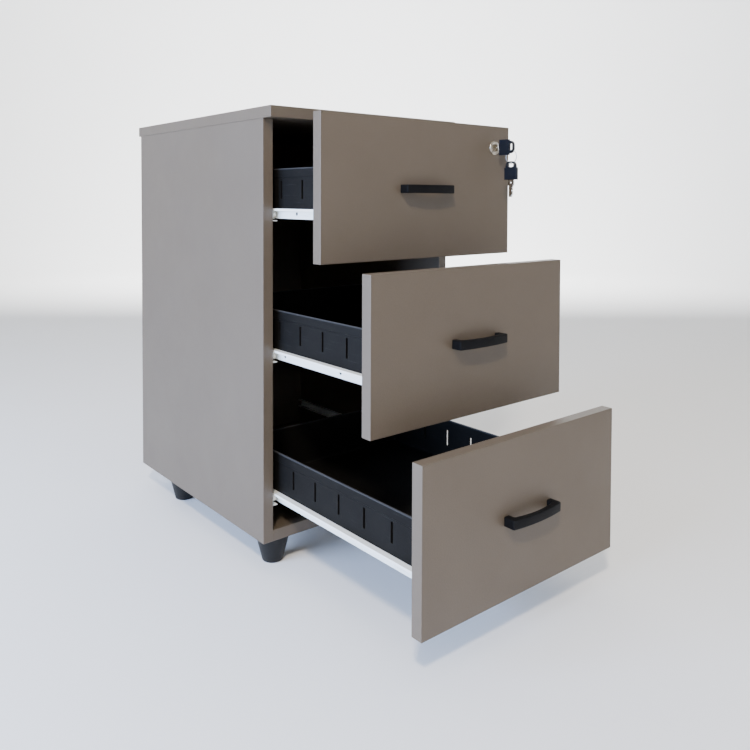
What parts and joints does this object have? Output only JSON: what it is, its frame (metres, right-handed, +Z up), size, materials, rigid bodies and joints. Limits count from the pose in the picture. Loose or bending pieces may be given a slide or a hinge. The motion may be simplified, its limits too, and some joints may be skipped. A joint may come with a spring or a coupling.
{
  "type": "drawer pedestal",
  "caption": "Desk-height office drawer pedestal of faced board on tapered feet, with moulded trays on roller runners, bow handles, a top drawer lock and keys.",
  "frame": {"origin": "on the floor, in the middle of the overall box at rest, with the drawers pulled out as stored", "axes": "+Z up, -Y towards the front where the drawers pull out, +X to the right seen from the front"},
  "size_m": [0.4, 0.8562, 0.734],
  "materials": {
    "melamine_board": "satin taupe melamine facing on chipboard with matching edge band",
    "handle_plastic": "moulded black plastic, satin",
    "tray_plastic": "moulded charcoal plastic, fine grain",
    "foot_plastic": "moulded black plastic",
    "runner_steel": "white powder-coated sheet steel",
    "roller_plastic": "moulded off-white nylon",
    "lock_nickel": "nickel-plated, polished",
    "zinc_steel": "bright zinc-plated steel",
    "key_plastic": "moulded black plastic key head"
  },
  "bodies": {
    "cabinet": {"top_panel": "melamine_board", "left_side_panel": "melamine_board", "right_side_panel": "melamine_board", "bottom_panel": "melamine_board", "back_panel": "melamine_board", "foot_front_left": "foot_plastic", "foot_front_right": "foot_plastic", "foot_rear_left": "foot_plastic", "foot_rear_right": "foot_plastic", "top_cabinet_runner_left": "runner_steel", "top_cabinet_runner_right": "runner_steel", "middle_cabinet_runner_left": "runner_steel", "middle_cabinet_runner_right": "runner_steel", "bottom_cabinet_runner_left": "runner_steel", "bottom_cabinet_runner_right": "runner_steel"},
    "top_drawer": {"top_drawer_front": "melamine_board", "top_drawer_tray": "tray_plastic", "top_handle": "handle_plastic", "top_handle_screw_left": "zinc_steel", "top_handle_screw_right": "zinc_steel", "top_drawer_runner_left": "runner_steel", "top_drawer_runner_right": "runner_steel", "lock_housing": "lock_nickel", "lock_nut": "zinc_steel"},
    "middle_drawer": {"middle_drawer_front": "melamine_board", "middle_drawer_tray": "tray_plastic", "middle_handle": "handle_plastic", "middle_handle_screw_left": "zinc_steel", "middle_handle_screw_right": "zinc_steel", "middle_drawer_runner_left": "runner_steel", "middle_drawer_runner_right": "runner_steel"},
    "bottom_drawer": {"bottom_drawer_front": "melamine_board", "bottom_drawer_tray": "tray_plastic", "bottom_handle": "handle_plastic", "bottom_handle_screw_left": "zinc_steel", "bottom_handle_screw_right": "zinc_steel", "bottom_drawer_runner_left": "runner_steel", "bottom_drawer_runner_right": "runner_steel"},
    "lock_core": {"lock_plug": "lock_nickel", "lock_cam": "zinc_steel", "cam_screw": "zinc_steel"},
    "key": {"key_blade": "lock_nickel", "key_head": "key_plastic"},
    "key_ring": {"key_ring": "zinc_steel"},
    "spare_key": {"spare_key_blade": "lock_nickel", "spare_key_head": "key_plastic"},
    "top_front_roller_left": {"top_front_roller_left": "roller_plastic"},
    "top_front_roller_right": {"top_front_roller_right": "roller_plastic"},
    "top_rear_roller_left": {"top_rear_roller_left": "roller_plastic"},
    "top_rear_roller_right": {"top_rear_roller_right": "roller_plastic"},
    "middle_front_roller_left": {"middle_front_roller_left": "roller_plastic"},
    "middle_front_roller_right": {"middle_front_roller_right": "roller_plastic"},
    "middle_rear_roller_left": {"middle_rear_roller_left": "roller_plastic"},
    "middle_rear_roller_right": {"middle_rear_roller_right": "roller_plastic"},
    "bottom_front_roller_left": {"bottom_front_roller_left": "roller_plastic"},
    "bottom_front_roller_right": {"bottom_front_roller_right": "roller_plastic"},
    "bottom_rear_roller_left": {"bottom_rear_roller_left": "roller_plastic"},
    "bottom_rear_roller_right": {"bottom_rear_roller_right": "roller_plastic"}
  },
  "joints": [
    {"name": "top_drawer_slide", "type": "slide", "parent": "cabinet", "child": "top_drawer", "axis": [0, -1, 0], "range_m": [-0.13, 0.215]},
    {"name": "middle_drawer_slide", "type": "slide", "parent": "cabinet", "child": "middle_drawer", "axis": [0, -1, 0], "range_m": [-0.24, 0.105]},
    {"name": "bottom_drawer_slide", "type": "slide", "parent": "cabinet", "child": "bottom_drawer", "axis": [0, -1, 0], "range_m": [-0.337, 0.008]},
    {"name": "top_front_roller_left_spin", "type": "hinge", "parent": "cabinet", "child": "top_front_roller_left", "pos_m": [-0.17485, -0.03635, 0.567], "axis": [1, 0, 0], "range_deg": [-1004, 1653]},
    {"name": "top_front_roller_right_spin", "type": "hinge", "parent": "cabinet", "child": "top_front_roller_right", "pos_m": [0.17485, -0.03635, 0.567], "axis": [1, 0, 0], "range_deg": [-1004, 1653]},
    {"name": "top_rear_roller_left_spin", "type": "hinge", "parent": "top_drawer", "child": "top_rear_roller_left", "pos_m": [-0.17485, 0.25815, 0.5639], "axis": [1, 0, 0], "range_deg": [-1232, 2030]},
    {"name": "top_rear_roller_right_spin", "type": "hinge", "parent": "top_drawer", "child": "top_rear_roller_right", "pos_m": [0.17485, 0.25815, 0.5639], "axis": [1, 0, 0], "range_deg": [-1232, 2030]},
    {"name": "middle_front_roller_left_spin", "type": "hinge", "parent": "cabinet", "child": "middle_front_roller_left", "pos_m": [-0.17485, -0.03635, 0.344], "axis": [1, 0, 0], "range_deg": [-1844, 813]},
    {"name": "middle_front_roller_right_spin", "type": "hinge", "parent": "cabinet", "child": "middle_front_roller_right", "pos_m": [0.17485, -0.03635, 0.344], "axis": [1, 0, 0], "range_deg": [-1844, 813]},
    {"name": "middle_rear_roller_left_spin", "type": "hinge", "parent": "middle_drawer", "child": "middle_rear_roller_left", "pos_m": [-0.17485, 0.14815, 0.3409], "axis": [1, 0, 0], "range_deg": [-2265, 997]},
    {"name": "middle_rear_roller_right_spin", "type": "hinge", "parent": "middle_drawer", "child": "middle_rear_roller_right", "pos_m": [0.17485, 0.14815, 0.3409], "axis": [1, 0, 0], "range_deg": [-2265, 997]},
    {"name": "bottom_front_roller_left_spin", "type": "hinge", "parent": "cabinet", "child": "bottom_front_roller_left", "pos_m": [-0.17485, -0.03635, 0.1165], "axis": [1, 0, 0], "range_deg": [-2585, 72]},
    {"name": "bottom_front_roller_right_spin", "type": "hinge", "parent": "cabinet", "child": "bottom_front_roller_right", "pos_m": [0.17485, -0.03635, 0.1165], "axis": [1, 0, 0], "range_deg": [-2585, 72]},
    {"name": "bottom_rear_roller_left_spin", "type": "hinge", "parent": "bottom_drawer", "child": "bottom_rear_roller_left", "pos_m": [-0.17485, 0.05115, 0.1134], "axis": [1, 0, 0], "range_deg": [-3176, 86]},
    {"name": "bottom_rear_roller_right_spin", "type": "hinge", "parent": "bottom_drawer", "child": "bottom_rear_roller_right", "pos_m": [0.17485, 0.05115, 0.1134], "axis": [1, 0, 0], "range_deg": [-3176, 86]},
    {"name": "lock_turn", "type": "hinge", "parent": "top_drawer", "child": "lock_core", "pos_m": [0.162, -0.19985, 0.678], "axis": [0, 1, 0], "range_deg": [0, 90]},
    {"name": "key_pull", "type": "slide", "parent": "lock_core", "child": "key", "axis": [0, -1, 0], "range_m": [0, 0.022]},
    {"name": "ring_swing", "type": "hinge", "parent": "key", "child": "key_ring", "pos_m": [0.162, -0.23675, 0.6728], "axis": [1, 0, 0], "range_deg": [-35, 15]},
    {"name": "spare_key_swing", "type": "hinge", "parent": "key_ring", "child": "spare_key", "pos_m": [0.162, -0.23675, 0.6508], "axis": [1, 0, 0], "range_deg": [-35, 15]}
  ],
  "couplings": [
    {"joint": "top_front_roller_left_spin", "follows": "top_drawer_slide", "rad_per_m": 133.33},
    {"joint": "top_front_roller_right_spin", "follows": "top_drawer_slide", "rad_per_m": 133.33},
    {"joint": "top_rear_roller_left_spin", "follows": "top_drawer_slide", "rad_per_m": 163.93},
    {"joint": "top_rear_roller_right_spin", "follows": "top_drawer_slide", "rad_per_m": 163.93},
    {"joint": "middle_front_roller_left_spin", "follows": "middle_drawer_slide", "rad_per_m": 133.33},
    {"joint": "middle_front_roller_right_spin", "follows": "middle_drawer_slide", "rad_per_m": 133.33},
    {"joint": "middle_rear_roller_left_spin", "follows": "middle_drawer_slide", "rad_per_m": 163.93},
    {"joint": "middle_rear_roller_right_spin", "follows": "middle_drawer_slide", "rad_per_m": 163.93},
    {"joint": "bottom_front_roller_left_spin", "follows": "bottom_drawer_slide", "rad_per_m": 133.33},
    {"joint": "bottom_front_roller_right_spin", "follows": "bottom_drawer_slide", "rad_per_m": 133.33},
    {"joint": "bottom_rear_roller_left_spin", "follows": "bottom_drawer_slide", "rad_per_m": 163.93},
    {"joint": "bottom_rear_roller_right_spin", "follows": "bottom_drawer_slide", "rad_per_m": 163.93}
  ]
}
